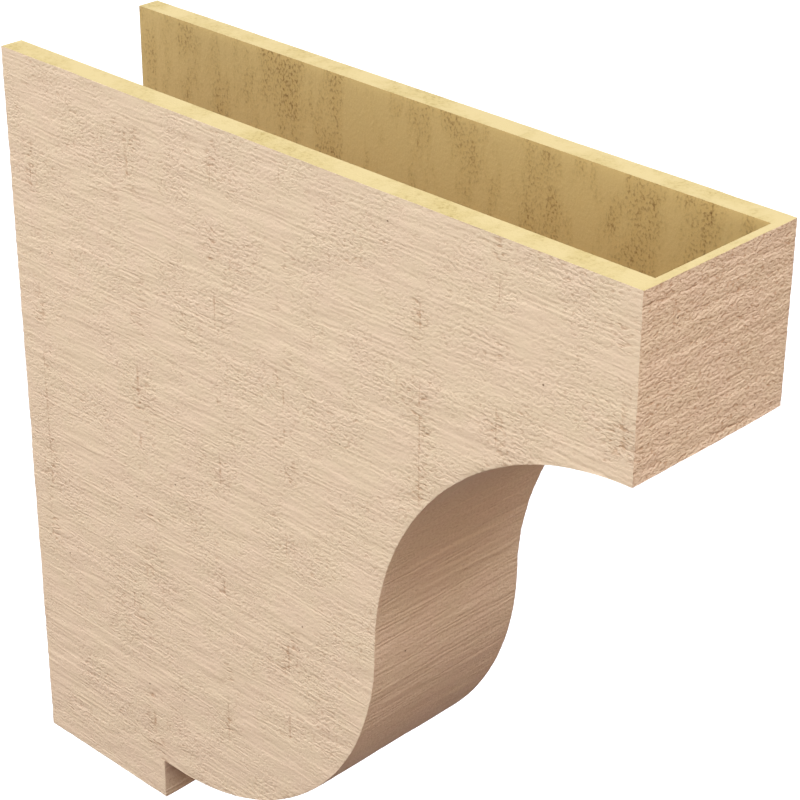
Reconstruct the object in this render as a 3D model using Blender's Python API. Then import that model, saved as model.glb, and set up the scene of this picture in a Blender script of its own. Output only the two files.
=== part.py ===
"""Imitation cedar corbel: one moulded foam shell that stands out from a wall.

The side view is a bracket: a flat foot against the wall, a small step, a belly that swells down and out,
a cove that hollows back under the arm, and a plain square nose. The shell is open on top and behind.

Frame: metres. The wall is the plane y = 0 and the corbel stands out from it towards -Y, with +Z up and
x = 0 midway between its sides. The origin is on the wall, in the middle of the foot floor's rear edge.
"""
import math

import bmesh
import bpy
import numpy as np

INCH = 0.0254

# Overall size
HEIGHT = 24.0 * INCH        # from the foot's underside to the top rim
DEPTH = 24.0 * INCH         # from the wall to the nose
WIDTH = 6.0 * INCH          # over both sides

# Walls of the shell
SIDE_WALL = 0.75 * INCH     # the two sides
FACE_WALL = 0.27 * INCH     # nose, underside and foot

# Outline of the side, from the wall outwards
FOOT_DEPTH = 5.83 * INCH    # flat underside of the foot
FOOT_RISE = 1.45 * INCH     # step up behind the foot
SOFFIT_FLAT = 0.83 * INCH   # level stretch between the step and the belly
NOSE_HEIGHT = 5.21 * INCH   # upright face of the nose

ARC_STEPS = 24              # facets in each quarter turn of the underside
CUT_MARGIN = 0.02           # how far the hollow's cutter runs past the open top and rear
SMOOTH_ANGLE = math.radians(20)

# Linear colours of the coat and of the bare foam
TAN_COAT = (0.66, 0.49, 0.34, 1.0)
BARE_FOAM = (0.62, 0.47, 0.20, 1.0)


def clear_objects():
    """Empties the scene."""
    for item in list(bpy.data.objects):
        bpy.data.objects.remove(item, do_unlink=True)


def surface(name, colour, roughness):
    """A matt material of one colour."""
    material = bpy.data.materials.new(name)
    material.use_nodes = True
    shader = material.node_tree.nodes["Principled BSDF"]
    shader.inputs["Base Color"].default_value = colour
    shader.inputs["Roughness"].default_value = roughness
    shader.inputs["Metallic"].default_value = 0.0
    return material


def underside_curve(inset):
    """Points (out, up) of belly and cove, moved into the shell by the inset.

    Each is a quarter of an ellipse and both have the same half axes. The belly starts level at the end of
    the soffit and ends upright, where the cove starts, and the cove ends level under the nose.
    """
    reach = (DEPTH - FOOT_DEPTH - SOFFIT_FLAT) / 2
    rise = (HEIGHT - FOOT_RISE - NOSE_HEIGHT) / 2
    turn = np.linspace(0.0, math.pi / 2, ARC_STEPS + 1)
    belly = np.stack((reach * np.sin(turn), rise * (1 - np.cos(turn))), axis=1)
    belly += (FOOT_DEPTH + SOFFIT_FLAT, FOOT_RISE)
    belly_run = np.stack((reach * np.cos(turn), rise * np.sin(turn)), axis=1)
    cove = np.stack((-reach * np.cos(turn), rise * (np.sin(turn) - 1)), axis=1)
    cove += (DEPTH, HEIGHT - NOSE_HEIGHT)
    cove_run = np.stack((reach * np.sin(turn), rise * np.cos(turn)), axis=1)
    points = np.concatenate((belly, cove[1:]))
    run = np.concatenate((belly_run, cove_run[1:]))
    run /= np.linalg.norm(run, axis=1, keepdims=True)
    inwards = np.stack((-run[:, 1], run[:, 0]), axis=1)
    return points + inset * inwards


def side_outline():
    """Outline (out, up) of the whole corbel seen from the side."""
    foot = [(0.0, 0.0), (FOOT_DEPTH, 0.0), (FOOT_DEPTH, FOOT_RISE)]
    top = [(DEPTH, HEIGHT), (0.0, HEIGHT)]
    return np.concatenate((foot, underside_curve(0.0), top))


def hollow_outline():
    """Outline (out, up) of the hollow: one face wall inside, and past the open top and rear."""
    foot_front = FOOT_DEPTH - FACE_WALL
    nose_back = DEPTH - FACE_WALL
    foot = [(-CUT_MARGIN, FACE_WALL), (foot_front, FACE_WALL), (foot_front, FOOT_RISE + FACE_WALL)]
    curve = underside_curve(FACE_WALL)
    arm_floor = np.interp(nose_back, curve[:, 0], curve[:, 1])
    curve = curve[curve[:, 0] < nose_back]
    top = [(nose_back, arm_floor), (nose_back, HEIGHT + CUT_MARGIN), (-CUT_MARGIN, HEIGHT + CUT_MARGIN)]
    return np.concatenate((foot, curve, top))


def prism(name, outline, width, material):
    """The outline carried straight across the width, centred on x = 0, closed at both ends."""
    wall_edge_up = FACE_WALL / 2
    shape = bmesh.new()
    corners = [shape.verts.new((-width / 2, -out, up - wall_edge_up)) for out, up in outline]
    side = shape.faces.new(corners)
    far = bmesh.ops.extrude_face_region(shape, geom=[side])
    far_corners = [item for item in far["geom"] if isinstance(item, bmesh.types.BMVert)]
    bmesh.ops.translate(shape, verts=far_corners, vec=(width, 0.0, 0.0))
    bmesh.ops.recalc_face_normals(shape, faces=shape.faces[:])
    mesh = bpy.data.meshes.new(name)
    shape.to_mesh(mesh)
    shape.free()
    mesh.materials.append(material)
    mesh.shade_smooth()
    mesh.set_sharp_from_angle(angle=SMOOTH_ANGLE)
    item = bpy.data.objects.new(name, mesh)
    bpy.context.collection.objects.link(item)
    return item


def corbel_shell():
    """The solid bracket with its hollow cut out between the two sides."""
    coat = surface("tan_primed_coat", TAN_COAT, 0.75)
    foam = surface("bare_rigid_foam", BARE_FOAM, 0.9)
    shell = prism("corbel_shell", side_outline(), WIDTH, coat)
    hollow = prism("hollow_cutter", hollow_outline(), WIDTH - 2 * SIDE_WALL, foam)
    hollow.hide_render = True
    hollow.display_type = "WIRE"
    cut = shell.modifiers.new("hollow", "BOOLEAN")
    cut.operation = "DIFFERENCE"
    cut.solver = "EXACT"
    cut.material_mode = "TRANSFER"
    cut.object = hollow
    return shell


clear_objects()
corbel_shell()
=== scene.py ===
import math

import bmesh
import bpy
import numpy as np
from mathutils import Matrix, Vector


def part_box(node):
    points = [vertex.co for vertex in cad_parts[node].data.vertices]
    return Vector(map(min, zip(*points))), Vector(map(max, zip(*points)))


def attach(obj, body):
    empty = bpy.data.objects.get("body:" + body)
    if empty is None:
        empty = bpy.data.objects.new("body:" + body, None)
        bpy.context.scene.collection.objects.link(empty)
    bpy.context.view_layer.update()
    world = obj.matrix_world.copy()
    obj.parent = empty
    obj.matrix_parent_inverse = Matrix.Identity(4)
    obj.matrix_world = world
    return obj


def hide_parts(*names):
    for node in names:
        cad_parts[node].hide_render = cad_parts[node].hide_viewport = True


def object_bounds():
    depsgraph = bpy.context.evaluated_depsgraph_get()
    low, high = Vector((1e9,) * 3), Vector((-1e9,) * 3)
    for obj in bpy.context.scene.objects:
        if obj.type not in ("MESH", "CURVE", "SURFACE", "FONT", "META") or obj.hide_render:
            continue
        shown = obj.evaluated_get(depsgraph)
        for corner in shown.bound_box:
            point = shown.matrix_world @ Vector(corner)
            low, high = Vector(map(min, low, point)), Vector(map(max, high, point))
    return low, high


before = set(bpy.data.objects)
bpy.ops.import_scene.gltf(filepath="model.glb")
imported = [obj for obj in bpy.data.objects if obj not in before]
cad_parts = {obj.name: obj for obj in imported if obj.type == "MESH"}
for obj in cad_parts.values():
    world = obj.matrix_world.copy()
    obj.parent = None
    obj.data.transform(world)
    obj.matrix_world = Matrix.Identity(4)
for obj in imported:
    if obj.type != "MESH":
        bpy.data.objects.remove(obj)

model_low, model_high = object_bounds()

# The moulded shell
# One casting of rigid polyurethane foam, from a mould taken off a rough-sawn cedar board, with tan primer on
# its outside. It is hollow, open on top and behind, and has no joint or seam. It is slid over a timber block
# on the wall and held by screws through its sides.
MILLIMETRE = 0.001
INCH = 0.0254
SIDE_WALL = 0.75 * INCH         # the two sides
FACE_WALL = 0.27 * INCH         # nose, underside and foot
FOOT_DEPTH = 5.83 * INCH        # flat underside of the foot
FOOT_RISE = 1.45 * INCH         # step up behind the foot
SOFFIT_FLAT = 0.83 * INCH       # level stretch between the step and the belly
NOSE_HEIGHT = 5.21 * INCH       # upright face of the nose

shell_low, shell_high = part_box("corbel_shell")
HALF_WIDTH = shell_high[0]
DEPTH = -shell_low[1]
BASE = shell_low[2]
HEIGHT = shell_high[2] - BASE
REACH = (DEPTH - FOOT_DEPTH - SOFFIT_FLAT) / 2      # half axes of the belly's and the cove's quarter turns
RISE = (HEIGHT - FOOT_RISE - NOSE_HEIGHT) / 2

ROW_CLIMB = 1.7 * MILLIMETRE    # height between rows, a third of the grain's pitch
ROW_ARC = 2.5 * MILLIMETRE      # longest step round the curves, where they lie nearly level
FOOT_COLUMNS = 77               # columns from the wall to the front of the foot
SIDE_COLUMNS = 88               # columns from the wall to the outline, higher up
WIDTH_COLUMNS = 40              # columns across the nose and the underside
ARRIS = 1.4 * MILLIMETRE        # width of the worn strip along an edge
HOLLOW_STEPS = 40               # facets in each quarter turn inside the hollow
FINE_TURN = 4000                # steps in which a quarter turn is added up


def quarter_turn():
    """Angles of the belly's quarter turn, closest where it climbs fastest.

    The rows passed by an angle are the integral of the larger of two rates, the climb over ROW_CLIMB and
    the arc over ROW_ARC, and the angles are read off at whole numbers of rows.
    """
    fine = np.linspace(0.0, math.pi / 2, FINE_TURN)
    climb = RISE * np.sin(fine) / ROW_CLIMB
    arc = np.hypot(REACH * np.cos(fine), RISE * np.sin(fine)) / ROW_ARC
    rows = np.concatenate(((0.0,), np.cumsum(np.maximum(climb, arc)[1:] * np.diff(fine))))
    return np.interp(np.linspace(0.0, rows[-1], math.ceil(rows[-1]) + 1), rows, fine)


def underside(turn, inset):
    """Points (out, up) of belly and cove: two quarter ellipses with the same half axes.

    The belly starts level at the soffit's end and ends upright, and the cove goes on from there to end
    level under the nose, so its angles are the belly's ones mirrored. The points are then moved inwards,
    square to the curve, by the inset.
    """
    back = math.pi / 2 - turn[::-1]
    belly_out = FOOT_DEPTH + SOFFIT_FLAT + REACH * np.sin(turn)
    belly = np.stack((belly_out, FOOT_RISE + RISE * (1 - np.cos(turn))), 1)
    cove_up = HEIGHT - NOSE_HEIGHT - RISE * (1 - np.sin(back))
    cove = np.stack((DEPTH - REACH * np.cos(back), cove_up), 1)
    belly_run = np.stack((REACH * np.cos(turn), RISE * np.sin(turn)), 1)
    cove_run = np.stack((REACH * np.sin(back), RISE * np.cos(back)), 1)
    run = np.concatenate((belly_run, cove_run[1:]))
    run /= np.linalg.norm(run, axis=1, keepdims=True)
    return np.concatenate((belly, cove[1:])) + inset * np.stack((-run[:, 1], run[:, 0]), 1)


def even(start, end, longest):
    """Evenly spaced values from start to end, no further apart than the longest step."""
    return np.linspace(start, end, math.ceil((end - start) / longest) + 1)


NOISE_TABLE = 512       # random numbers each way, after which the noise comes round again


def cell_noise(along, across, length, pitch, seed):
    """Values from 0 to 1: a random number at each corner of cells length by pitch, eased in between."""
    table = np.random.default_rng(seed).random((NOISE_TABLE, NOISE_TABLE))
    u, v = along / length, across / pitch
    i, j = np.floor(u).astype(int), np.floor(v).astype(int)
    a, b = u - i, v - j
    a, b = a * a * (3 - 2 * a), b * b * (3 - 2 * b)
    i, j, i1, j1 = i % NOISE_TABLE, j % NOISE_TABLE, (i + 1) % NOISE_TABLE, (j + 1) % NOISE_TABLE
    lower = table[i, j] * (1 - a) + table[i1, j] * a
    upper = table[i, j1] * (1 - a) + table[i1, j1] * a
    return lower * (1 - b) + upper * b


def high_part(noise, gain, cut):
    """The high places of a noise: gain times the noise, less the cut, held between 0 and 1."""
    return np.clip(noise * gain - cut, 0, 1)


# depths of the relief's forms
SWELL_DEPTH = 0.32 * MILLIMETRE     # broad waves of the sawn board
LUMP_DEPTH = 0.38 * MILLIMETRE      # short waves between the ridges
SMEAR_DEPTH = 0.32 * MILLIMETRE     # slanting drags of the saw's teeth
RIDGE_DEPTH = 0.36 * MILLIMETRE     # ridges of the grain
TEAR_DEPTH = 0.30 * MILLIMETRE      # torn fibres
GROOVE_DEPTH = 0.45 * MILLIMETRE    # long grooves, on the nose and the underside only
LEDGE_DEPTH = 0.22 * MILLIMETRE     # long level ledges, there too
HIGHEST = 0.32 * MILLIMETRE         # the sum hardly ever falls below this, and it is taken off
DEEPEST = 1.0 * MILLIMETRE          # and what is left goes no deeper than this

# the cells of their noise: length along the grain and pitch across it
RIDGE_LENGTH = 75 * MILLIMETRE
RIDGE_PITCH = 5.2 * MILLIMETRE      # from ridge to ridge, so two cells
RIDGE_CELL = (RIDGE_LENGTH, RIDGE_PITCH / 2)
SHORT_CELL = (RIDGE_LENGTH / 4, RIDGE_PITCH / 2)
SHORT_SHARE = 0.3                   # share of the short ridges in the ridges' depth
DRIFT_CELL = (90 * MILLIMETRE, 60 * MILLIMETRE)
SWELL_CELL = (80 * MILLIMETRE, 19 * MILLIMETRE)
SMEAR_CELL = (42 * MILLIMETRE, 11 * MILLIMETRE)
LUMP_CELL = (20 * MILLIMETRE, 5 * MILLIMETRE)
ROUGH_CELL = (50 * MILLIMETRE, 28 * MILLIMETRE)
TEAR_CELL = (12 * MILLIMETRE, 3 * MILLIMETRE)
GROOVE_CELL = (160 * MILLIMETRE, 2.6 * MILLIMETRE)
LEDGE_CELL = (70 * MILLIMETRE, 4 * MILLIMETRE)
BREAK_CELL = (200 * MILLIMETRE, 9 * MILLIMETRE)
DRIFT = 4 * MILLIMETRE              # how far the grain strays from level
SMEAR_SLANT = math.radians(24)

# the upright lines of saw tears on the sides
STROKE_PITCH = 94 * MILLIMETRE      # from one line to the next
STROKE_START = 36 * MILLIMETRE      # first line, from the wall
STROKE_WIDTH = 4 * MILLIMETRE
STROKE_DEPTH = 0.25 * MILLIMETRE
STROKE_SWAY = 0.2                   # how far a line strays from its even place, as a share of the pitch
SWAY_LENGTH = 240 * MILLIMETRE

# the band, which is the nose and the underside, and the edges where it meets the sides
ARRIS_WEAR = 0.12 * MILLIMETRE
WEAR_LENGTH = 11 * MILLIMETRE
EDGE_CALM = 4 * MILLIMETRE          # its relief fades towards its two edges, which are nearly straight
EDGE_SHARE = 0.3                    # what is left of the relief there

# three splits across the nose, in mm: below its top edge at the left, at the right, and how deep
NOSE_SPLITS = ((11, 16, 0.4), (29, 31, 0.2), (123, 129, 0.4))
SPLIT_WIDTH = 1.6 * MILLIMETRE

# grain coordinates, which keep the parts apart: a side's own start at 0
BAND_SHIFT = -0.5                   # middle of the band: below 0, where no saw stroke is drawn
FAR_SHIFT = 2.0                     # added to the heights on the far side, so that it has a grain of its own
NOSE_TOP = 2.0                      # the nose's top edge
NOSE_FOOT = NOSE_TOP - NOSE_HEIGHT  # the nose's lower edge, where the underside ends

NEAR_SEED, BAND_SEED, FAR_SEED, WEAR_SEED = 10, 40, 70, 7


def sawn_relief(along, across, seed, coarse):
    """How far the face lies below its highest level, for places given along and across the grain.

    It is a sum of noises, each times its own depth. The swell, lumps, ridges, tears, grooves and ledges are
    read at places bent by a slow drift across the grain.
    Swell and lumps: broad cells, and short ones.
    Smears: the square of noise on axes turned by the slant.
    Ridges: long narrow cells, with a share of cells a quarter as long.
    Tears: the high part of noise with short cells, where a slow noise is high too.
    On a coarse face, grooves and ledges: the high part of noise with very long cells.
    On the others, saw strokes: bell-shaped lines across the grain, broken up along their length.
    """
    drift = across + DRIFT * cell_noise(along, across, *DRIFT_CELL, seed)
    swell = cell_noise(along, drift, *SWELL_CELL, seed + 1)
    slant_along = along * math.cos(SMEAR_SLANT) + across * math.sin(SMEAR_SLANT)
    slant_across = across * math.cos(SMEAR_SLANT) - along * math.sin(SMEAR_SLANT)
    smear = cell_noise(slant_along, slant_across, *SMEAR_CELL, seed + 2)
    lump = cell_noise(along, drift, *LUMP_CELL, seed + 8)
    ridge = cell_noise(along, drift, *RIDGE_CELL, seed + 3)
    short = cell_noise(along, drift, *SHORT_CELL, seed + 4)
    rough = high_part(cell_noise(along, across, *ROUGH_CELL, seed + 5), gain=2.4, cut=0.9)
    torn = high_part(cell_noise(along, drift, *TEAR_CELL, seed + 6), gain=2, cut=1) * rough
    depth = (SWELL_DEPTH * swell + LUMP_DEPTH * lump + SMEAR_DEPTH * smear ** 2
             + RIDGE_DEPTH * ((1 - SHORT_SHARE) * ridge + SHORT_SHARE * short) + TEAR_DEPTH * torn)
    if coarse:
        groove = high_part(cell_noise(along, drift, *GROOVE_CELL, seed + 7), gain=3, cut=2)
        ledge = high_part(cell_noise(along, drift, *LEDGE_CELL, seed + 9), gain=2, cut=0.5)
        depth += GROOVE_DEPTH * groove + LEDGE_DEPTH * ledge
    else:
        sway = STROKE_SWAY * np.sin(along * 2 * math.pi / SWAY_LENGTH)
        line = (along - STROKE_START) / STROKE_PITCH + sway
        beside = (line - np.round(line)) * STROKE_PITCH / STROKE_WIDTH
        broken = high_part(cell_noise(along, across, *BREAK_CELL, seed + 7), gain=2.5, cut=1.2)
        depth += STROKE_DEPTH * np.exp(-beside ** 2) * broken
    return np.clip(depth - HIGHEST, 0, DEEPEST)


def side_rows():
    """Reach and height of each row of the side above the foot, from the soffit to the top edge."""
    curve = underside(quarter_turn(), 0.0)
    nose = even(HEIGHT - NOSE_HEIGHT, HEIGHT, ROW_CLIMB)[1:]
    return np.concatenate((curve, np.stack((np.full_like(nose, DEPTH), nose), 1)))


def shell_arrays():
    """The shell's vertices, its faces by kind and the grain's coordinates, as whole arrays.

    The outline from the heel of the foot round to the nose's top is carried across the width as the band.
    Each side is a grid whose rows are level and whose columns share out the distance from the wall to the
    outline, and it uses the band's own vertices along the outline. Two U-shaped rims join the outside to
    the hollow.
    """
    foot_up = even(0.0, FOOT_RISE, ROW_CLIMB)
    upper = side_rows()
    corner = len(foot_up) - 1
    rows = corner + len(upper)
    foot_cols, cols = FOOT_COLUMNS, SIDE_COLUMNS

    # places of the side's grid: the foot has the first columns only
    share = np.concatenate((np.linspace(0.0, FOOT_DEPTH, foot_cols + 1),
                            np.linspace(FOOT_DEPTH, FOOT_DEPTH + SOFFIT_FLAT, cols - foot_cols + 1)[1:]))
    share /= FOOT_DEPTH + SOFFIT_FLAT
    reach = np.concatenate((np.full(corner, FOOT_DEPTH + SOFFIT_FLAT), upper[:, 0]))
    up = np.concatenate((foot_up[:-1], upper[:, 1]))
    side_out = reach[:, None] * share
    side_up = np.broadcast_to(up[:, None], side_out.shape)
    side_out[:, 1] = ARRIS
    side_out[corner:, cols - 1] = reach[corner:] - ARRIS
    side_out[:corner, foot_cols - 1] = FOOT_DEPTH - ARRIS

    # the outline, as the side's own grid places in order round its lower and front edge
    edge_row = np.concatenate((np.zeros(foot_cols + 1, int), np.arange(1, corner + 1),
                               np.full(cols - foot_cols, corner), np.arange(corner + 1, rows)))
    edge_col = np.concatenate((np.arange(foot_cols + 1), np.full(corner, foot_cols),
                               np.arange(foot_cols + 1, cols + 1), np.full(rows - corner - 1, cols)))
    outline = np.stack((side_out[edge_row, edge_col], side_up[edge_row, edge_col]), 1)
    run = np.gradient(outline, axis=0)
    run /= np.linalg.norm(run, axis=1, keepdims=True)
    facing = np.stack((run[:, 1], -run[:, 0]), 1)
    girth = np.concatenate(((0.0,), np.cumsum(np.linalg.norm(np.diff(outline, axis=0), axis=1))))

    # the band: the outline carried across the width, sunk by its relief
    across = np.linspace(-HALF_WIDTH, HALF_WIDTH, WIDTH_COLUMNS + 1)
    across[1], across[-2] = ARRIS - HALF_WIDTH, HALF_WIDTH - ARRIS
    band_depth = sawn_relief(across[None, :] + BAND_SHIFT, girth[:, None], BAND_SEED, True)
    for left, right, depth in NOSE_SPLITS:
        level = np.interp(across, (-HALF_WIDTH, HALF_WIDTH), (left, right)) * MILLIMETRE
        off = (girth[-1] - girth[:, None] - level) / SPLIT_WIDTH
        band_depth += depth * MILLIMETRE * np.exp(-off ** 2)
    band_depth = np.minimum(band_depth, DEEPEST)
    calm = np.clip((HALF_WIDTH - np.abs(across)) / EDGE_CALM, EDGE_SHARE, 1)
    band_depth = band_depth.mean() + (band_depth - band_depth.mean()) * calm
    wear = ARRIS_WEAR * cell_noise(girth, girth, WEAR_LENGTH, 1.0, WEAR_SEED)
    band_depth[:, 0] += wear
    band_depth[:, -1] += wear[::-1]
    sunk = outline[:, None, :] - facing[:, None, :] * band_depth[:, :, None]
    band_across = np.broadcast_to(across, band_depth.shape)
    band_place = np.stack((band_across, -sunk[:, :, 0], sunk[:, :, 1] + BASE), -1)
    band = np.arange(band_depth.size).reshape(band_depth.shape)
    places, count = [band_place.reshape(-1, 3)], band.size

    # the two sides
    in_grid = np.ones(side_out.shape, bool)
    in_grid[:corner, foot_cols + 1:] = False
    own = in_grid.copy()
    own[edge_row, edge_col] = False
    sides = []
    for sign, edge, seed in ((-1, band[:, 0], NEAR_SEED), (1, band[:, -1], FAR_SEED)):
        depth = sawn_relief(side_out, side_up, seed, False)
        flat = np.stack((sign * (HALF_WIDTH - depth), -side_out, side_up + BASE), -1)
        number = np.full(side_out.shape, -1)
        number[own] = count + np.arange(own.sum())
        number[edge_row, edge_col] = edge
        places[0][edge, 0] = sign * (HALF_WIDTH - depth[edge_row, edge_col] - wear)
        places.append(flat[own])
        count += int(own.sum())
        sides.append(number)

    # the hollow: its own outline carried between the sides, and the corner where a side meets top and rear
    curve = underside(np.linspace(0.0, math.pi / 2, HOLLOW_STEPS + 1), FACE_WALL)
    nose_back = DEPTH - FACE_WALL
    arm_floor = np.interp(nose_back, curve[:, 0], curve[:, 1])
    foot_front = FOOT_DEPTH - FACE_WALL
    hollow_foot = ((0.0, FACE_WALL), (foot_front, FACE_WALL), (foot_front, FOOT_RISE + FACE_WALL))
    hollow_top = ((nose_back, arm_floor), (nose_back, HEIGHT), (0.0, HEIGHT))
    hollow = np.concatenate((hollow_foot, curve[curve[:, 0] < nose_back], hollow_top))
    half_hollow = HALF_WIDTH - SIDE_WALL
    inside = count + np.arange(2 * len(hollow)).reshape(2, -1)
    for wall in (-half_hollow, half_hollow):
        places.append(np.stack((np.full(len(hollow), wall), -hollow[:, 0], hollow[:, 1] + BASE), 1))

    # faces
    near, far = sides
    loops = []
    for number in sides + [band]:
        quads = np.stack((number[:-1, :-1], number[:-1, 1:], number[1:, 1:], number[1:, :-1]), -1)
        quads = quads.reshape(-1, 4)
        loops.append(quads[(quads >= 0).all(1)])
    a, b = inside[0, :-1], inside[1, :-1]
    loops.append(np.stack((a[:-1], a[1:], b[1:], b[:-1]), -1))
    top = np.concatenate((near[-1], band[-1, 1:-1], far[-1, ::-1], inside[1, [-1, -2]], inside[0, [-2, -1]]))
    rear = np.concatenate((near[::-1, 0], band[0, 1:-1], far[:, 0], inside[1, [-1, 0]], inside[0, [0, -1]]))
    loops += [inside[:1], inside[1:], top[None], rear[None]]

    # grain coordinates of each corner of each face, in metres: out and up on a side, across and round on
    # the band
    places = np.concatenate(places)
    grain = np.zeros((len(places), 2))
    round_band = girth[:, None] - girth[-1] + NOSE_TOP
    grain[band] = np.stack(np.broadcast_arrays(across[None, :] + BAND_SHIFT, round_band), -1)
    band_grain = grain[loops[2]]
    side_grain = []
    for number, shift, quads in ((near, 0.0, loops[0]), (far, FAR_SHIFT, loops[1])):
        table = np.zeros((len(places), 2))
        table[number[in_grid]] = np.stack((side_out[in_grid], side_up[in_grid] + shift), 1)
        side_grain.append(table[quads])
    coords = side_grain + [band_grain] + [np.zeros(part.shape + (2,)) for part in loops[3:]]
    return places, loops, coords


SHARP_ANGLE = math.radians(40)      # edges that turn by more are drawn sharp


def shell_mesh(name):
    """Fills a mesh from the arrays: three parts are primed, three are bare foam and two are sawn foam."""
    places, parts, coords = shell_arrays()
    mesh = bpy.data.meshes.new(name)
    lengths = np.concatenate([np.full(len(part), part.shape[1]) for part in parts])
    slots = np.repeat((0, 0, 0, 1, 1, 1, 2, 2), [len(part) for part in parts])
    corners = np.concatenate([part.ravel() for part in parts])
    mesh.vertices.add(len(places))
    mesh.vertices.foreach_set("co", places.ravel())
    mesh.loops.add(len(corners))
    mesh.loops.foreach_set("vertex_index", corners)
    mesh.polygons.add(len(lengths))
    mesh.polygons.foreach_set("loop_start", np.concatenate(((0,), np.cumsum(lengths)[:-1])))
    mesh.polygons.foreach_set("material_index", slots)
    mesh.update(calc_edges=True)
    layer = mesh.uv_layers.new(name="grain")
    layer.data.foreach_set("uv", np.concatenate([part.reshape(-1, 2) for part in coords]).ravel())
    shape = bmesh.new()
    shape.from_mesh(mesh)
    bmesh.ops.recalc_face_normals(shape, faces=shape.faces[:])
    shape.to_mesh(mesh)
    shape.free()
    mesh.shade_smooth()
    mesh.set_sharp_from_angle(angle=SHARP_ANGLE)
    return mesh


def linear(code):
    """An sRGB hex colour as linear values."""
    values = [int(code[i:i + 2], 16) / 255 for i in (1, 3, 5)]
    return tuple(v / 12.92 if v <= 0.04045 else ((v + 0.055) / 1.055) ** 2.4 for v in values) + (1.0,)


def add_node(material, kind, settings, sockets):
    """Adds a node, makes its settings, and gives each socket a value or another node's output."""
    node = material.node_tree.nodes.new(kind)
    for name, value in settings.items():
        setattr(node, name, value)
    for name, value in sockets.items():
        if isinstance(value, bpy.types.NodeSocket):
            material.node_tree.links.new(value, node.inputs[name])
        else:
            node.inputs[name].default_value = value
    return node


# sizes of the skin's finest relief along and across the grain, or of a round form
GRIT_SIZE = (3.0 * MILLIMETRE, 2.0 * MILLIMETRE)
FIBRE_SIZE = (20 * MILLIMETRE, 2.2 * MILLIMETRE)
FIBRE_HEIGHT = 0.09
BEND_SIZE = (80 * MILLIMETRE, 12 * MILLIMETRE)
DENT_SIZE = (8 * MILLIMETRE, 3 * MILLIMETRE)
DENT_TILT = math.radians(6)
FINE_PITCH = 4.8 * MILLIMETRE           # from one fine ridge to the next
FINE_BEND = 14.0                        # how far slow noise bends them, in radians of their sine
PATCH_SIZE = 45 * MILLIMETRE            # patches of stronger and weaker grit
STRETCH_SIZE = 35 * MILLIMETRE          # stretches where dents are let in and splits are open
TINT_SIZE = 30 * MILLIMETRE
PINHOLE_SPACING = 45 * MILLIMETRE
STRAY = 4 * MILLIMETRE                  # range over which a split's bottom wanders
STRAY_SIZE = 8 * MILLIMETRE
SPLIT_BOTTOM = 1.2 * MILLIMETRE         # half the width of its dark bottom
PART_EASE = 10 * MILLIMETRE             # strip over which one part's relief gives way to the next part's
BUMP_RISE = 1.2 * MILLIMETRE            # what a height of 1 stands for

# the primer's two tans, a darker tan painted into the low places as shade, and the painted shade inside a
# pinhole
TANS = ("#E6CCB2", "#E5CDB1")
SHADE_TAN = "#B88C6A"
PINHOLE_SHADE = "#6B4A2C"


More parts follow.
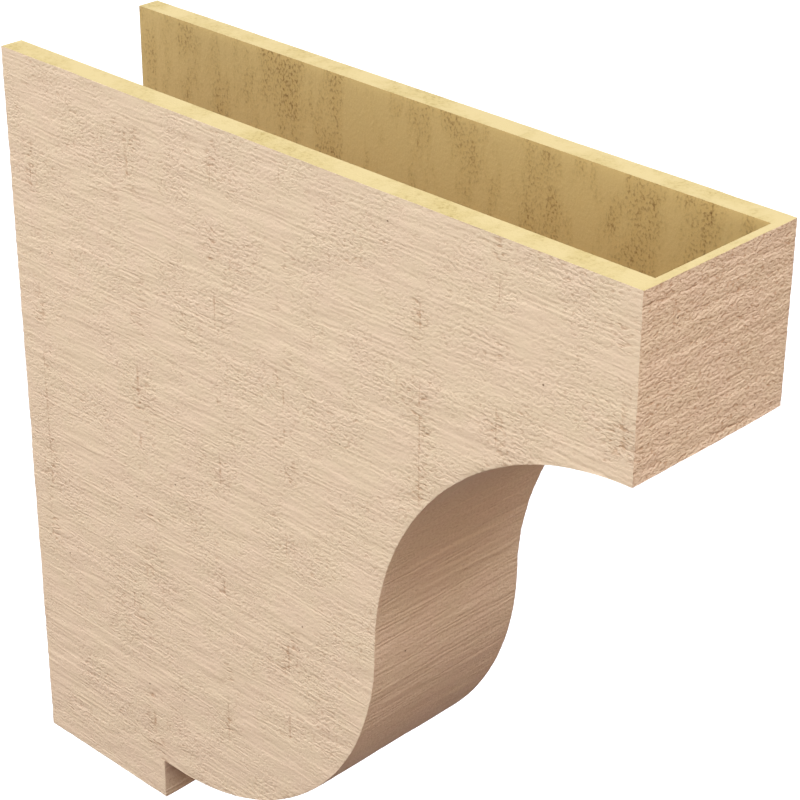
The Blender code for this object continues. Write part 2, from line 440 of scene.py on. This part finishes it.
def primed_sawn_foam():
    """Polyurethane foam cast against rough-sawn cedar and sprayed with tan primer.

    The primer is dead matt and hides the foam, so the eye reads only relief: grit and chips of the torn
    surface, fibres and fine ridges, short dents and scratches stacked in upright lines where the saw's teeth
    tore, the dark bottoms of the nose's splits, and a few pinholes where gas bubbles broke, whose insides
    are painted shade. The tan drifts a little, and shade is painted into it in the low places. All heights
    are added up for one bump.
    """
    m = bpy.data.materials.new("primed_sawn_foam")
    m.use_nodes = True
    shader = m.node_tree.nodes["Principled BSDF"]
    place = add_node(m, "ShaderNodeUVMap", {"uv_map": "grain"}, {}).outputs["UV"]
    place_parts = add_node(m, "ShaderNodeSeparateXYZ", {}, {0: place})
    along, across = place_parts.outputs["X"], place_parts.outputs["Y"]
    patch = add_node(m, "ShaderNodeTexNoise", {"noise_dimensions": "2D"},
                     {"Vector": place, "Scale": 1 / PATCH_SIZE, "Detail": 2.0}).outputs["Fac"]
    stretch = add_node(m, "ShaderNodeTexNoise", {"noise_dimensions": "2D"},
                       {"Vector": place, "Scale": 1 / STRETCH_SIZE, "Detail": 1.0}).outputs["Fac"]

    # grit: low flakes with softly sunk gaps between them
    grit_scale = (1 / GRIT_SIZE[0], 1 / GRIT_SIZE[1], 1)
    grit_place = add_node(m, "ShaderNodeMapping", {}, {"Vector": place, "Scale": grit_scale}).outputs[0]
    grit = add_node(m, "ShaderNodeTexNoise", {"noise_dimensions": "2D"},
                    {"Vector": grit_place, "Scale": 1.0, "Detail": 1.5, "Roughness": 0.5}).outputs["Fac"]
    flakes = add_node(m, "ShaderNodeMapRange", {},
                      {"Value": grit, "From Min": 0.32, "From Max": 0.62,
                       "To Min": -0.45, "To Max": 0.3}).outputs[0]
    # chips: one in three of the small angular cells has broken away, each to a depth of its own
    chip = add_node(m, "ShaderNodeTexVoronoi", {"voronoi_dimensions": "2D"},
                    {"Vector": grit_place, "Scale": 1.1}).outputs["Color"]
    chip_share = add_node(m, "ShaderNodeSeparateColor", {}, {0: chip}).outputs[0]
    chip_height = add_node(m, "ShaderNodeMapRange", {},
                           {"Value": chip_share, "From Min": 0.0, "From Max": 0.35,
                            "To Min": -0.55, "To Max": 0.05}).outputs[0]
    rough = add_node(m, "ShaderNodeMath", {"operation": "ADD"}, {0: chip_height, 1: flakes}).outputs[0]
    # both are strong on the nose, weak under it, and in patches on the sides. Nose and underside lie below 0
    # along the grain, and the nose is the part of them from NOSE_FOOT up
    side_grit = add_node(m, "ShaderNodeMapRange", {},
                         {"Value": patch, "From Min": 0.35, "From Max": 0.65,
                          "To Min": 0.11, "To Max": 0.34}).outputs[0]
    band_grit = add_node(m, "ShaderNodeMapRange", {},
                         {"Value": across, "From Min": NOSE_FOOT - PART_EASE, "From Max": NOSE_FOOT,
                          "To Min": 0.18, "To Max": 0.52}).outputs[0]
    grit_depth = add_node(m, "ShaderNodeMapRange", {},
                          {"Value": along, "From Min": -PART_EASE, "From Max": 0.0,
                           "To Min": band_grit, "To Max": side_grit}).outputs[0]
    grit_height = add_node(m, "ShaderNodeMath", {"operation": "MULTIPLY"},
                           {0: rough, 1: grit_depth}).outputs[0]

    # fibres, drawn out along the grain
    fibre_scale = (1 / FIBRE_SIZE[0], 1 / FIBRE_SIZE[1], 1)
    fibre_place = add_node(m, "ShaderNodeMapping", {}, {"Vector": place, "Scale": fibre_scale}).outputs[0]
    fibre = add_node(m, "ShaderNodeTexNoise", {"noise_dimensions": "2D"},
                     {"Vector": fibre_place, "Scale": 1.0, "Detail": 1.0, "Roughness": 0.5,
                      "Distortion": 0.2}).outputs["Fac"]
    fibres = add_node(m, "ShaderNodeMath", {"operation": "MULTIPLY_ADD"},
                      {0: fibre, 1: FIBRE_HEIGHT, 2: grit_height}).outputs[0]

    # fine ridges: a sine across the grain, bent and faded by slow noise
    bend_scale = (1 / BEND_SIZE[0], 1 / BEND_SIZE[1], 1)
    bend_place = add_node(m, "ShaderNodeMapping", {}, {"Vector": place, "Scale": bend_scale}).outputs[0]
    bend = add_node(m, "ShaderNodeTexNoise", {"noise_dimensions": "2D"},
                    {"Vector": bend_place, "Scale": 1.0, "Detail": 1.5, "Roughness": 0.5})
    phase = add_node(m, "ShaderNodeMath", {"operation": "MULTIPLY"},
                     {0: across, 1: 2 * math.pi / FINE_PITCH}).outputs[0]
    bent = add_node(m, "ShaderNodeMath", {"operation": "MULTIPLY_ADD"},
                    {0: bend.outputs["Fac"], 1: FINE_BEND, 2: phase}).outputs[0]
    wave = add_node(m, "ShaderNodeMath", {"operation": "SINE"}, {0: bent}).outputs[0]
    fade = add_node(m, "ShaderNodeSeparateColor", {}, {0: bend.outputs["Color"]}).outputs[1]
    side_ridges = add_node(m, "ShaderNodeMapRange", {},
                           {"Value": fade, "From Min": 0.4, "From Max": 0.65,
                            "To Min": 0.025, "To Max": 0.065}).outputs[0]
    band_share = add_node(m, "ShaderNodeMapRange", {},
                          {"Value": across, "From Min": NOSE_FOOT - PART_EASE, "From Max": NOSE_FOOT,
                           "To Min": 1.7, "To Max": 0.4}).outputs[0]
    part_share = add_node(m, "ShaderNodeMapRange", {},
                          {"Value": along, "From Min": -PART_EASE, "From Max": 0.0,
                           "To Min": band_share, "To Max": 1.0}).outputs[0]
    ridge_depth = add_node(m, "ShaderNodeMath", {"operation": "MULTIPLY"},
                           {0: side_ridges, 1: part_share}).outputs[0]
    weave = add_node(m, "ShaderNodeMath", {"operation": "MULTIPLY_ADD"},
                     {0: wave, 1: ridge_depth, 2: fibres}).outputs[0]

    # saw strokes: how near the next upright line is, as a share of their spacing
    even_turn = add_node(m, "ShaderNodeMath", {"operation": "MULTIPLY_ADD"},
                         {0: along, 1: 1 / STROKE_PITCH, 2: 0.5 - STROKE_START / STROKE_PITCH}).outputs[0]
    sway_turn = add_node(m, "ShaderNodeMath", {"operation": "MULTIPLY"},
                         {0: along, 1: 2 * math.pi / SWAY_LENGTH}).outputs[0]
    sway = add_node(m, "ShaderNodeMath", {"operation": "SINE"}, {0: sway_turn}).outputs[0]
    turn = add_node(m, "ShaderNodeMath", {"operation": "MULTIPLY_ADD"},
                    {0: sway, 1: STROKE_SWAY, 2: even_turn}).outputs[0]
    share = add_node(m, "ShaderNodeMath", {"operation": "FRACT"}, {0: turn}).outputs[0]
    off = add_node(m, "ShaderNodeMath", {"operation": "SUBTRACT"}, {0: share, 1: 0.5}).outputs[0]
    near = add_node(m, "ShaderNodeMath", {"operation": "ABSOLUTE"}, {0: off}).outputs[0]
    on_side = add_node(m, "ShaderNodeMath", {"operation": "GREATER_THAN"}, {0: along, 1: 0.0}).outputs[0]
    # dents: thick on a line and thin between, on some stretches only
    strip = add_node(m, "ShaderNodeMapRange", {},
                     {"Value": near, "From Min": 0.04, "From Max": 0.15,
                      "To Min": 1.0, "To Max": 0.22}).outputs[0]
    here = add_node(m, "ShaderNodeMapRange", {},
                    {"Value": stretch, "From Min": 0.50, "From Max": 0.64}).outputs[0]
    allowed = add_node(m, "ShaderNodeMath", {"operation": "MULTIPLY"}, {0: here, 1: on_side}).outputs[0]
    where = add_node(m, "ShaderNodeMath", {"operation": "MULTIPLY"}, {0: strip, 1: allowed}).outputs[0]
    dent_place = add_node(m, "ShaderNodeMapping", {},
                          {"Vector": place, "Scale": (1 / DENT_SIZE[0], 1 / DENT_SIZE[1], 1),
                           "Rotation": (0, 0, DENT_TILT)}).outputs[0]
    dent = add_node(m, "ShaderNodeTexNoise", {"noise_dimensions": "2D"},
                    {"Vector": dent_place, "Scale": 1.0, "Detail": 2.0, "Roughness": 0.6}).outputs["Fac"]
    pit = add_node(m, "ShaderNodeMapRange", {},
                   {"Value": dent, "From Min": 0.47, "From Max": 0.66,
                    "To Min": 0.0, "To Max": 0.30}).outputs[0]
    pit_depth = add_node(m, "ShaderNodeMath", {"operation": "MULTIPLY"}, {0: pit, 1: where}).outputs[0]
    dented = add_node(m, "ShaderNodeMath", {"operation": "SUBTRACT"}, {0: weave, 1: pit_depth}).outputs[0]
    # the tooth's own scratch, in the middle of a line where the grit is strong
    scratch = add_node(m, "ShaderNodeMapRange", {},
                       {"Value": near, "From Min": 0.004, "From Max": 0.014,
                        "To Min": 0.22, "To Max": 0.0}).outputs[0]
    long_stretch = add_node(m, "ShaderNodeMapRange", {},
                            {"Value": patch, "From Min": 0.53, "From Max": 0.60,
                             "To Min": 0.0, "To Max": 1.0}).outputs[0]
    side_stretch = add_node(m, "ShaderNodeMath", {"operation": "MULTIPLY"},
                            {0: long_stretch, 1: on_side}).outputs[0]
    scratch_depth = add_node(m, "ShaderNodeMath", {"operation": "MULTIPLY"},
                             {0: scratch, 1: side_stretch}).outputs[0]
    height = add_node(m, "ShaderNodeMath", {"operation": "SUBTRACT"},
                      {0: dented, 1: scratch_depth}).outputs[0]

    # the bottoms of the nose's splits, which wander a little and gape on some stretches
    gap = add_node(m, "ShaderNodeMapRange", {},
                   {"Value": stretch, "From Min": 0.42, "From Max": 0.60,
                    "To Min": -0.15, "To Max": -0.9}).outputs[0]
    wander = add_node(m, "ShaderNodeTexNoise", {"noise_dimensions": "2D"},
                      {"Vector": place, "Scale": 1 / STRAY_SIZE, "Detail": 1.0}).outputs["Fac"]
    strayed = add_node(m, "ShaderNodeMath", {"operation": "MULTIPLY_ADD"},
                       {0: wander, 1: STRAY, 2: across}).outputs[0]
    for left, right, depth in NOSE_SPLITS:
        slope = (left - right) * MILLIMETRE / (2 * HALF_WIDTH)
        middle = NOSE_TOP - (left + right) / 2 * MILLIMETRE - slope * BAND_SHIFT + STRAY / 2
        line = add_node(m, "ShaderNodeMath", {"operation": "MULTIPLY_ADD"},
                        {0: along, 1: slope, 2: middle}).outputs[0]
        beside = add_node(m, "ShaderNodeMath", {"operation": "SUBTRACT"}, {0: strayed, 1: line}).outputs[0]
        aside = add_node(m, "ShaderNodeMath", {"operation": "ABSOLUTE"}, {0: beside}).outputs[0]
        split = add_node(m, "ShaderNodeMapRange", {},
                         {"Value": aside, "From Min": 0.0, "From Max": SPLIT_BOTTOM,
                          "To Min": depth, "To Max": 0.0}).outputs[0]
        height = add_node(m, "ShaderNodeMath", {"operation": "MULTIPLY_ADD"},
                          {0: split, 1: gap, 2: height}).outputs[0]
    bump = add_node(m, "ShaderNodeBump", {}, {"Height": height, "Strength": 1.0, "Distance": BUMP_RISE})
    m.node_tree.links.new(bump.outputs[0], shader.inputs["Normal"])

    # colour: a slow drift between two tans, with shade painted in where the relief lies low
    drift = add_node(m, "ShaderNodeTexNoise", {"noise_dimensions": "2D"},
                     {"Vector": place, "Scale": 1 / TINT_SIZE, "Detail": 2.0}).outputs["Fac"]
    hue = add_node(m, "ShaderNodeMapRange", {},
                   {"Value": drift, "From Min": 0.35, "From Max": 0.65}).outputs[0]
    tan = add_node(m, "ShaderNodeMix", {"data_type": "RGBA"},
                   {0: hue, 6: linear(TANS[0]), 7: linear(TANS[1])}).outputs[2]
    # painted shade: the tan is mixed towards the shade tan where the relief lies low, most in the pits
    low = add_node(m, "ShaderNodeMapRange", {},
                   {"Value": height, "From Min": -0.42, "From Max": 0.0,
                    "To Min": 0.66, "To Max": 0.0}).outputs[0]
    shaded_tone = add_node(m, "ShaderNodeMix", {"data_type": "RGBA"},
                    {0: low, 6: tan, 7: linear(SHADE_TAN)}).outputs[2]
    # pinholes: about one cell in ten has one, up to 0.9 mm in radius; their dark brown inside is painted
    # shade
    cell = add_node(m, "ShaderNodeTexVoronoi", {"voronoi_dimensions": "2D"},
                    {"Vector": place, "Scale": 1 / PINHOLE_SPACING})
    chance = add_node(m, "ShaderNodeSeparateColor", {}, {0: cell.outputs["Color"]}).outputs[0]
    radius = add_node(m, "ShaderNodeMapRange", {},
                      {"Value": chance, "From Min": 0.88, "From Max": 0.90,
                       "To Min": 0.0, "To Max": 0.02}).outputs[0]
    inside = add_node(m, "ShaderNodeMath", {"operation": "SUBTRACT"},
                      {0: radius, 1: cell.outputs["Distance"]}).outputs[0]
    hole_shade = add_node(m, "ShaderNodeMapRange", {},
                    {"Value": inside, "From Min": 0.0, "From Max": 0.008,
                     "To Min": 0.0, "To Max": 0.85}).outputs[0]
    skin = add_node(m, "ShaderNodeMix", {"data_type": "RGBA"},
                    {0: hole_shade, 6: shaded_tone, 7: linear(PINHOLE_SHADE)}).outputs[2]
    m.node_tree.links.new(skin, shader.inputs["Base Color"])
    shader.inputs["Roughness"].default_value = 0.9
    shader.inputs["IOR"].default_value = 1.48
    return m


CELL_RISE = 0.3 * MILLIMETRE            # how high the foam's cells stand


def bare_rigid_foam(name, yellow, olive, pore_shade, blotch_size, cell_size, amount):
    """The same polyurethane foam where no primer reached it: pale yellow and matt, with olive blotches.

    In the blotches the cells lie open, and shade is painted into them as a dark colour. Sizes are in metres:
    width along X, depth along Y and height along Z. The amount is the share of the painted shade in an open
    cell.
    """
    m = bpy.data.materials.new(name)
    m.use_nodes = True
    shader = m.node_tree.nodes["Principled BSDF"]
    place = add_node(m, "ShaderNodeTexCoord", {}, {}).outputs["Object"]
    blotch_scale = [1 / size for size in blotch_size]
    blotch_place = add_node(m, "ShaderNodeMapping", {}, {"Vector": place, "Scale": blotch_scale}).outputs[0]
    blotch = add_node(m, "ShaderNodeTexNoise", {},
                      {"Vector": blotch_place, "Scale": 1.0, "Detail": 4.5,
                       "Roughness": 0.72}).outputs["Fac"]
    where = add_node(m, "ShaderNodeMapRange", {},
                     {"Value": blotch, "From Min": 0.46, "From Max": 0.70}).outputs[0]
    cell_scale = [1 / size for size in cell_size]
    cell_place = add_node(m, "ShaderNodeMapping", {}, {"Vector": place, "Scale": cell_scale}).outputs[0]
    cells = add_node(m, "ShaderNodeTexNoise", {},
                     {"Vector": cell_place, "Scale": 1.0, "Detail": 2.0, "Roughness": 0.6}).outputs["Fac"]
    open_cells = add_node(m, "ShaderNodeMapRange", {},
                          {"Value": cells, "From Min": 0.48, "From Max": 0.70,
                           "To Min": 0.0, "To Max": amount}).outputs[0]
    # painted shade: the dark colour fills the open cells in the blotches
    shaded_pores = add_node(m, "ShaderNodeMath", {"operation": "MULTIPLY"}, {0: where, 1: open_cells}).outputs[0]
    tint = add_node(m, "ShaderNodeMix", {"data_type": "RGBA"},
                    {0: where, 6: linear(yellow), 7: linear(olive)}).outputs[2]
    foam = add_node(m, "ShaderNodeMix", {"data_type": "RGBA"},
                    {0: shaded_pores, 6: tint, 7: linear(pore_shade)}).outputs[2]
    m.node_tree.links.new(foam, shader.inputs["Base Color"])
    bump = add_node(m, "ShaderNodeBump", {}, {"Height": cells, "Strength": 1.0, "Distance": CELL_RISE})
    m.node_tree.links.new(bump.outputs[0], shader.inputs["Normal"])
    shader.inputs["Roughness"].default_value = 0.92
    shader.inputs["IOR"].default_value = 1.45
    return m


def foam_skin_and_hollow_shade():
    """Inside the hollow the foam set against the core, in a warmer tan with more and darker open cells:
    partly that skin's own look and partly painted shade of the hollow.

    Streaks of open cells run up the walls, the way the foam rose in the mould.
    """
    # the warmer tan and the denser dark cells are partly painted shade of the hollow
    return bare_rigid_foam("foam_core_side", yellow="#D0B57A", olive="#C6A86B", pore_shade="#66421C",
                           blotch_size=(0.034, 0.034, 0.11), cell_size=(0.0021, 0.0021, 0.0026), amount=0.92)


def sawn_foam():
    """The rims were sawn and sanded flat: paler, with small olive blotches."""
    return bare_rigid_foam("sawn_foam_rim", yellow="#BFAA77", olive="#B49E66", pore_shade="#8A7234",
                           blotch_size=(0.05, 0.05, 0.05), cell_size=(0.0024, 0.0024, 0.0024), amount=0.7)


shell = bpy.data.objects.new("moulded_shell", shell_mesh("moulded_shell"))
shell.data.materials.append(primed_sawn_foam())
shell.data.materials.append(foam_skin_and_hollow_shade())
shell.data.materials.append(sawn_foam())
bpy.context.scene.collection.objects.link(shell)
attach(shell, "root")
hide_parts("corbel_shell")

# The floor
# A matt white studio floor two metres below the corbel, which hangs on its wall mount. It is seen but sends
# no light up, because the underside in the photograph is dark.
FLOOR_DROP = 2.0
FLOOR_HALF = 30.0


def studio_floor():
    """One level square, given by its four corners."""
    level = model_low[2] - FLOOR_DROP
    corners = [(x * FLOOR_HALF, y * FLOOR_HALF, level) for x, y in ((-1, -1), (1, -1), (1, 1), (-1, 1))]
    mesh = bpy.data.meshes.new("studio_floor")
    mesh.from_pydata(corners, [], [(0, 1, 2, 3)])
    floor = bpy.data.objects.new("studio_floor", mesh)
    paint = bpy.data.materials.new("white_floor_paint")
    paint.use_nodes = True
    shader = paint.node_tree.nodes["Principled BSDF"]
    shader.inputs["Base Color"].default_value = linear("#FAFAFA")
    shader.inputs["Roughness"].default_value = 1.0
    mesh.materials.append(paint)
    floor.visible_diffuse = False
    bpy.context.scene.collection.objects.link(floor)


studio_floor()

# The light
# A dome, bright overhead and nearly dark below, that looks white itself. Five softboxes: a long low one to
# the left at the corbel's own height, one up to the left, a warm fill in front, one behind that shines into
# the open rear, and one to the right for the far side, which the photograph does not show.
DOME_TOP = (2.60, 2.81, 3.09)
DOME_SIDE = (0.16, 0.03, 0.01)
DOME_BELOW = (0.045, 0.008, 0.001)
SOFTBOXES = {        # place, width, height, colour, watts; each is turned to the corbel's middle
    "low_left_softbox": ((-1.7, -0.15, 0.59), 2.3, 0.27, "#FFFFF0", 9.9),
    "high_left_softbox": ((-1.4, -0.5, 1.0), 0.9, 0.9, "#D6FCFF", 4.6),
    "front_softbox": ((-0.4, -2.0, 0.96), 1.2, 0.6, "#FFF4DA", 10.6),
    "rear_softbox": ((-0.5, 1.6, 0.9), 0.9, 0.9, "#FFFFFF", 12.6),
    "far_side_softbox": ((1.8, 0.3, 0.6), 1.2, 0.8, "#FFFAE0", 11.0),
}


def studio_light():
    """The dome's colour eases from below to the side and on to the top, with the height looked in."""
    world = bpy.data.worlds.new("studio_dome")
    world.use_nodes = True
    background = world.node_tree.nodes["Background"]
    direction = add_node(world, "ShaderNodeTexCoord", {}, {}).outputs["Generated"]
    height = add_node(world, "ShaderNodeSeparateXYZ", {}, {0: direction}).outputs["Z"]
    up = add_node(world, "ShaderNodeMapRange", {"interpolation_type": "SMOOTHSTEP"},
                  {"Value": height, "From Min": 0.45, "From Max": 0.85}).outputs[0]
    level = add_node(world, "ShaderNodeMapRange", {"interpolation_type": "SMOOTHSTEP"},
                     {"Value": height, "From Min": -0.45, "From Max": 0.0}).outputs[0]
    lower = add_node(world, "ShaderNodeMix", {"data_type": "RGBA"},
                     {0: level, 6: DOME_BELOW + (1.0,), 7: DOME_SIDE + (1.0,)}).outputs[2]
    dome = add_node(world, "ShaderNodeMix", {"data_type": "RGBA"},
                    {0: up, 6: lower, 7: DOME_TOP + (1.0,)}).outputs[2]
    seen = add_node(world, "ShaderNodeLightPath", {}, {}).outputs["Is Camera Ray"]
    colour = add_node(world, "ShaderNodeMix", {"data_type": "RGBA"},
                      {0: seen, 6: dome, 7: (1.0, 1.0, 1.0, 1.0)}).outputs[2]
    world.node_tree.links.new(colour, background.inputs["Color"])
    background.inputs["Strength"].default_value = 1.0
    bpy.context.scene.world = world
    middle = (Vector(model_low) + Vector(model_high)) / 2
    for name, (place, width, height, code, watts) in SOFTBOXES.items():
        lamp = bpy.data.lights.new(name, "AREA")
        lamp.shape = "RECTANGLE"
        lamp.size, lamp.size_y = width, height
        lamp.color = linear(code)[:3]
        lamp.energy = watts
        item = bpy.data.objects.new(name, lamp)
        item.matrix_world = (Matrix.Translation(place)
                             @ (middle - Vector(place)).to_track_quat("-Z", "Y").to_matrix().to_4x4())
        item.visible_camera = False
        bpy.context.scene.collection.objects.link(item)
    bpy.context.scene.view_settings.view_transform = "Standard"


studio_light()

# The camera
# Worked out from the corners of the corbel in the photograph. Lengths are in metres from the frame's origin.
CAMERA_PLACE = (-1.0688, -1.3734, 1.1861)
CAMERA_TURN = math.radians(-45.94)      # round the upright
CAMERA_DOWN = math.radians(27.65)       # below level
CAMERA_ROLL = math.radians(0.28)
SENSOR = 36.0
FOCAL_LENGTH = 106.25                   # millimetres on the 36 mm sensor

camera = bpy.data.objects.new("photo_camera", bpy.data.cameras.new("photo_camera"))
camera.data.sensor_width = SENSOR
camera.data.lens = FOCAL_LENGTH
camera.matrix_world = (Matrix.Translation(CAMERA_PLACE) @ Matrix.Rotation(CAMERA_TURN, 4, "Z")
                       @ Matrix.Rotation(math.pi / 2 - CAMERA_DOWN, 4, "X")
                       @ Matrix.Rotation(CAMERA_ROLL, 4, "Z"))
bpy.context.scene.collection.objects.link(camera)
bpy.context.scene.camera = camera
